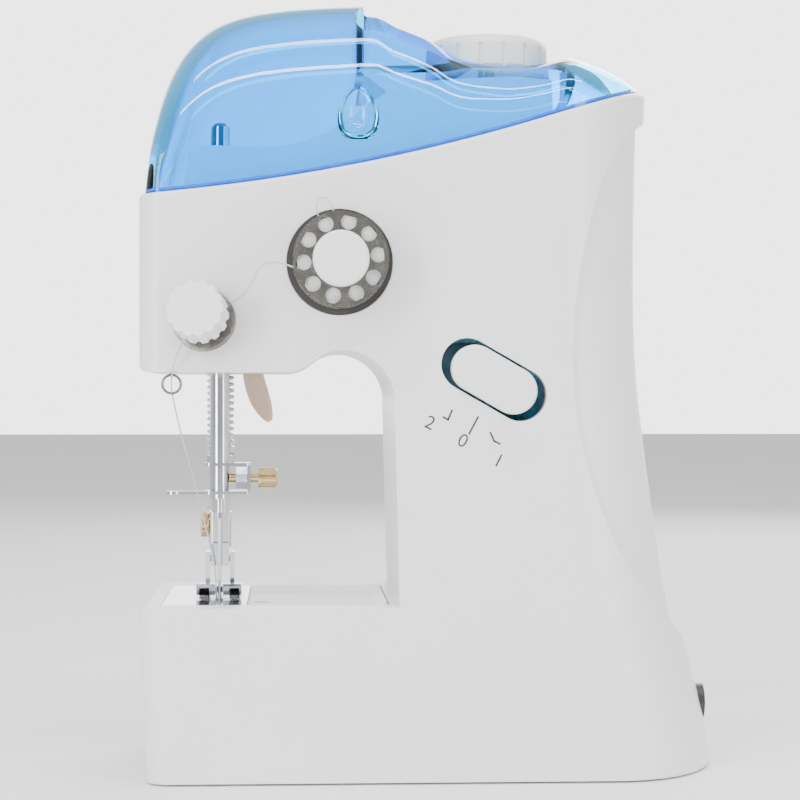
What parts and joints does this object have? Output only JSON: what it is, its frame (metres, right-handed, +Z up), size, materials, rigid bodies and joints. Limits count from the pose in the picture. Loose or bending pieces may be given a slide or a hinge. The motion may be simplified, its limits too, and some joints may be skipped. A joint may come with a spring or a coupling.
{
  "type": "mini desktop sewing machine",
  "caption": "Compact white desktop sewing machine with a clear blue top cover, side handwheel, front bobbin, slide switch, needle bar and presser foot over a small bed.",
  "frame": {"origin": "bottom centre of the whole machine, on the surface it stands on", "axes": "+X to the operator's right, +Y away from the operator, +Z up"},
  "size_m": [0.129, 0.0832, 0.1731],
  "materials": {
    "casing_white": "satin gloss",
    "cover_blue": "clear gloss",
    "wheel_white": "satin",
    "lid_clear": "gloss",
    "lever_tan": "satin",
    "dark_plastic": "matt",
    "grey_plastic": "matt",
    "gear_plastic": "matt",
    "rubber_dark": "matt",
    "plated_steel": "polished",
    "steel": "brushed",
    "dark_steel": "dark plated",
    "brass_metal": "polished",
    "pressed_frame": "cast",
    "cell_wrap": "gloss film",
    "white_thread": "twisted"
  },
  "bodies": {
    "root": {"front_casing": "casing_white", "rear_casing": "casing_white", "top_cover": "cover_blue", "inner_deck": "casing_white", "base_plate": "casing_white", "rubber_feet": "rubber_dark", "casing_screws": "steel", "needle_plate": "plated_steel", "chassis": "pressed_frame", "bed_frame": "pressed_frame", "shaft_bushings": "brass_metal", "bar_bushings": "brass_metal", "motor_can": "steel", "bobbin_case": "dark_plastic", "lever_pin": "steel", "spool_washer": "dark_plastic", "spool_spindle": "casing_white", "tension_post": "steel", "tension_discs": "dark_steel", "tension_spring": "steel", "thread_guide": "dark_steel", "upper_thread": "white_thread", "battery_cells": "cell_wrap", "dc_jack": "dark_plastic", "pedal_jack": "dark_plastic"},
    "handwheel": {"handwheel": "wheel_white", "wheel_shaft": "steel", "drive_gears": "gear_plastic"},
    "arm_drive": {"arm_shaft": "steel", "arm_bevel": "gear_plastic", "crank_disc": "steel"},
    "lower_drive": {"lower_shaft": "steel", "lower_gears": "gear_plastic"},
    "hook": {"hook": "plated_steel", "hook_gear": "gear_plastic"},
    "motor_rotor": {"motor_rotor": "steel"},
    "lower_bobbin": {"lower_bobbin": "dark_steel"},
    "needle_bar": {"needle_bar": "plated_steel", "needle_yoke": "steel", "clamp_bracket": "plated_steel", "clamp_nut": "plated_steel", "needle": "plated_steel", "needle_thread": "white_thread"},
    "clamp_screw": {"clamp_screw": "brass_metal"},
    "presser_bar": {"presser_bar": "plated_steel", "presser_spring": "steel", "presser_collar": "plated_steel", "foot_shank": "plated_steel"},
    "foot_screw": {"foot_screw": "brass_metal"},
    "presser_foot": {"presser_foot": "plated_steel"},
    "lifter_lever": {"lifter_lever": "lever_tan"},
    "feed_dog": {"feed_dog": "steel"},
    "front_bobbin": {"front_bobbin": "dark_steel", "bobbin_winding": "white_thread"},
    "spool_cap": {"spool_cap": "casing_white"},
    "tension_knob": {"tension_knob": "casing_white"},
    "switch_slider": {"switch_slider": "casing_white"},
    "bobbin_lid": {"bobbin_lid": "lid_clear"},
    "battery_door": {"battery_door": "casing_white"}
  },
  "joints": [
    {"name": "handwheel_spin", "type": "hinge", "parent": "root", "child": "handwheel", "pos_m": [0.0133, 0.0036, 0.163], "axis": [0, 0, 1], "continuous": true},
    {"name": "arm_shaft_spin", "type": "hinge", "parent": "root", "child": "arm_drive", "pos_m": [-0.02, 0.0036, 0.122], "axis": [1, 0, 0], "continuous": true},
    {"name": "lower_shaft_spin", "type": "hinge", "parent": "root", "child": "lower_drive", "pos_m": [-0.01, 0.0036, 0.0125], "axis": [1, 0, 0], "continuous": true},
    {"name": "hook_spin", "type": "hinge", "parent": "root", "child": "hook", "pos_m": [-0.034, 0.0036, 0.028], "axis": [0, 0, 1], "continuous": true},
    {"name": "rotor_spin", "type": "hinge", "parent": "root", "child": "motor_rotor", "pos_m": [0.03066, 0.0036, 0.09], "axis": [0, 0, 1], "continuous": true},
    {"name": "lower_bobbin_spin", "type": "hinge", "parent": "root", "child": "lower_bobbin", "pos_m": [-0.034, 0.0036, 0.03], "axis": [0, 0, 1], "continuous": true},
    {"name": "needle_bar_slide", "type": "slide", "parent": "root", "child": "needle_bar", "axis": [0, 0, 1], "range_m": [0, 0.017], "deforming": ["needle_thread"]},
    {"name": "clamp_screw_turn", "type": "hinge", "parent": "needle_bar", "child": "clamp_screw", "pos_m": [-0.038, 0.0036, 0.0653], "axis": [1, 0, 0], "continuous": true},
    {"name": "presser_bar_slide", "type": "slide", "parent": "root", "child": "presser_bar", "axis": [0, 0, 1], "range_m": [0, 0.0055], "deforming": ["presser_spring"]},
    {"name": "foot_screw_turn", "type": "hinge", "parent": "presser_bar", "child": "foot_screw", "pos_m": [-0.0515, 0.0116, 0.0542], "axis": [1, 0, 0], "continuous": true},
    {"name": "presser_foot_pivot", "type": "hinge", "parent": "presser_bar", "child": "presser_foot", "pos_m": [-0.048, 0.009, 0.0466], "axis": [-1, 0, 0], "range_deg": [0, 3]},
    {"name": "lifter_lever_turn", "type": "hinge", "parent": "root", "child": "lifter_lever", "pos_m": [-0.041, 0.0201, 0.0942], "axis": [0, -1, 0], "range_deg": [0, 50]},
    {"name": "feed_dog_slide", "type": "slide", "parent": "root", "child": "feed_dog", "axis": [0, 1, 0], "range_m": [-0.00125, 0.00125]},
    {"name": "front_bobbin_spin", "type": "hinge", "parent": "root", "child": "front_bobbin", "pos_m": [-0.0212, -0.0334, 0.1129], "axis": [0, -1, 0], "continuous": true},
    {"name": "spool_cap_turn", "type": "hinge", "parent": "root", "child": "spool_cap", "pos_m": [-0.0212, -0.0404, 0.1129], "axis": [0, -1, 0], "continuous": true},
    {"name": "tension_knob_turn", "type": "hinge", "parent": "root", "child": "tension_knob", "pos_m": [-0.05135, -0.03606, 0.10177], "axis": [-0.1553, -0.9659, 0.2071], "continuous": true},
    {"name": "switch_slide", "type": "slide", "parent": "root", "child": "switch_slider", "axis": [0.8669, 0, -0.4985], "range_m": [-0.0021, 0.0021]},
    {"name": "bobbin_lid_hinge", "type": "hinge", "parent": "root", "child": "bobbin_lid", "pos_m": [-0.0107, 0.0066, 0.03795], "axis": [0, 1, 0], "range_deg": [0, 75]},
    {"name": "battery_door_slide", "type": "slide", "parent": "root", "child": "battery_door", "axis": [-1, 0, 0], "range_m": [0, 0.005]}
  ],
  "couplings": [
    {"joint": "arm_shaft_spin", "follows": "handwheel_spin", "ratio": -1},
    {"joint": "lower_shaft_spin", "follows": "handwheel_spin", "ratio": 1},
    {"joint": "hook_spin", "follows": "handwheel_spin", "ratio": -2},
    {"joint": "rotor_spin", "follows": "handwheel_spin", "ratio": -6},
    {"joint": "lifter_lever_turn", "follows": "presser_bar_slide", "rad_per_m": 158.66}
  ]
}
